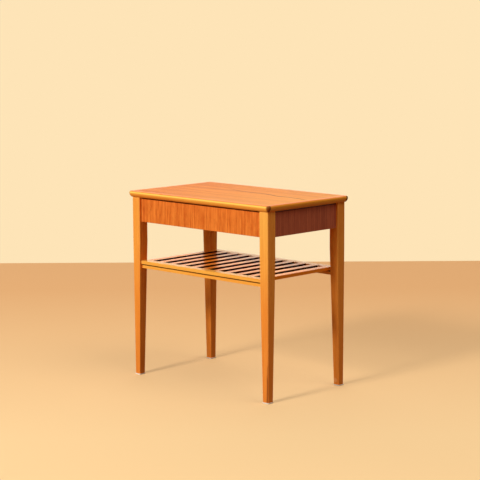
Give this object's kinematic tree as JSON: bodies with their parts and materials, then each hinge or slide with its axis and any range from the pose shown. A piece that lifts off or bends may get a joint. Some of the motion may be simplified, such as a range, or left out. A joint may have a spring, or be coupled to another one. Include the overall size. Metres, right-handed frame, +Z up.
{
  "type": "sewing table",
  "caption": "Low rectangular wooden sewing table with rounded edge moulding, square tapered legs, a full-width pull-out drawer with inner compartments and a slatted shelf below.",
  "frame": {"origin": "on the floor, under the middle of the table top", "axes": "+X along the long sides, to the right when facing the drawer; +Y from the drawer side to the back; +Z up"},
  "size_m": [0.54, 0.322, 0.525],
  "materials": {
    "teak_top_veneer": "satin lacquered teak veneer, grain along the long side",
    "teak_moulding": "satin lacquered solid teak, lighter than the top",
    "teak_solid": "satin lacquered solid teak",
    "teak_upright_grain": "satin lacquered teak with upright grain",
    "teak_shelf": "satin lacquered solid teak",
    "core_board": "raw pressed board",
    "beech": "smooth waxed beech",
    "plywood": "smooth thin plywood",
    "screw_steel": "dull zinc",
    "pad_plastic": "matte off-white plastic"
  },
  "bodies": {
    "table_frame": {"apron_dowels": "beech", "back_apron": "teak_upright_grain", "catch_screws": "screw_steel", "cross_rail_front": "beech", "cross_rail_rear": "beech", "drawer_catch_left": "beech", "drawer_catch_right": "beech", "drawer_runner_left": "beech", "drawer_runner_right": "beech", "drawer_stop_left": "beech", "drawer_stop_right": "beech", "edge_moulding_back": "teak_moulding", "edge_moulding_front": "teak_moulding", "edge_moulding_left": "teak_moulding", "edge_moulding_right": "teak_moulding", "foot_pad_back_left": "pad_plastic", "foot_pad_back_right": "pad_plastic", "foot_pad_front_left": "pad_plastic", "foot_pad_front_right": "pad_plastic", "foot_pad_nails": "screw_steel", "leg_back_left": "teak_solid", "leg_back_right": "teak_solid", "leg_front_left": "teak_solid", "leg_front_right": "teak_solid", "runner_screws": "screw_steel", "shelf_board_front": "teak_shelf", "shelf_board_rear": "teak_shelf", "shelf_screws": "screw_steel", "shelf_slat_01": "teak_shelf", "shelf_slat_02": "teak_shelf", "shelf_slat_03": "teak_shelf", "shelf_slat_04": "teak_shelf", "shelf_slat_05": "teak_shelf", "shelf_slat_06": "teak_shelf", "shelf_slat_07": "teak_shelf", "shelf_slat_08": "teak_shelf", "shelf_slat_09": "teak_shelf", "shelf_slat_10": "teak_shelf", "shelf_slat_11": "teak_shelf", "side_apron_left": "teak_upright_grain", "side_apron_right": "teak_upright_grain", "stretcher_front": "teak_shelf", "stretcher_rear": "teak_shelf", "top_core": "core_board", "top_screws": "screw_steel", "top_veneer": "teak_top_veneer", "underside_veneer": "teak_solid"},
    "drawer": {"drawer_back": "beech", "drawer_bottom": "plywood", "drawer_bottom_nails": "screw_steel", "drawer_front": "teak_upright_grain", "drawer_front_divider": "beech", "drawer_long_divider": "beech", "drawer_rear_divider_1": "beech", "drawer_rear_divider_2": "beech", "drawer_rear_divider_3": "beech", "drawer_side_left": "beech", "drawer_side_right": "beech"}
  },
  "joints": [
    {"name": "drawer_slide", "type": "slide", "parent": "table_frame", "child": "drawer", "axis": [0, -1, 0], "range_m": [0, 0.181]}
  ]
}
